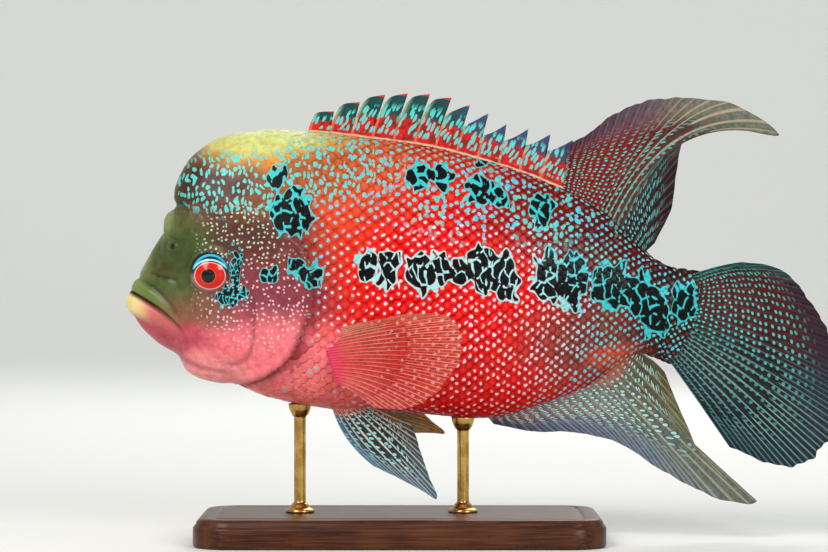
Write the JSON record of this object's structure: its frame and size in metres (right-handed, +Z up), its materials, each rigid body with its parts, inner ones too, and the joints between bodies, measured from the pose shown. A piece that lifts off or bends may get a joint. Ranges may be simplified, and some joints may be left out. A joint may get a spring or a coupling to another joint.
{
  "type": "flowerhorn cichlid",
  "caption": "Still life-size fish model with a high forehead hump, tall body and trailing fins, held over a flat base by short rods.",
  "frame": {"origin": "centre of the stand base's underside, on the floor", "axes": "+Z up, the snout towards -X and the tail towards +X, the fish's left side towards -Y"},
  "size_m": [0.301, 0.084, 0.1883],
  "materials": {
    "skin": "gloss",
    "fin": "satin",
    "eye": "gloss",
    "stand_wood": "satin",
    "stand_brass": "satin"
  },
  "bodies": {
    "root": {"head": "skin", "nuchal_hump": "skin", "upper_lip": "skin", "lower_jaw": "skin", "gill_cover_left": "skin", "gill_cover_right": "skin", "trunk": "skin", "tail_stalk": "skin", "dorsal_fin_spiny": "fin", "dorsal_fin_soft": "fin", "tail_fin": "fin", "anal_fin": "fin", "pectoral_fin_left": "fin", "pectoral_fin_right": "fin", "pelvic_fin_left": "fin", "pelvic_fin_right": "fin", "eye_left": "eye", "eye_right": "eye", "stand_base": "stand_wood", "stand_rod_front": "stand_brass", "stand_rod_rear": "stand_brass"}
  },
  "joints": []
}
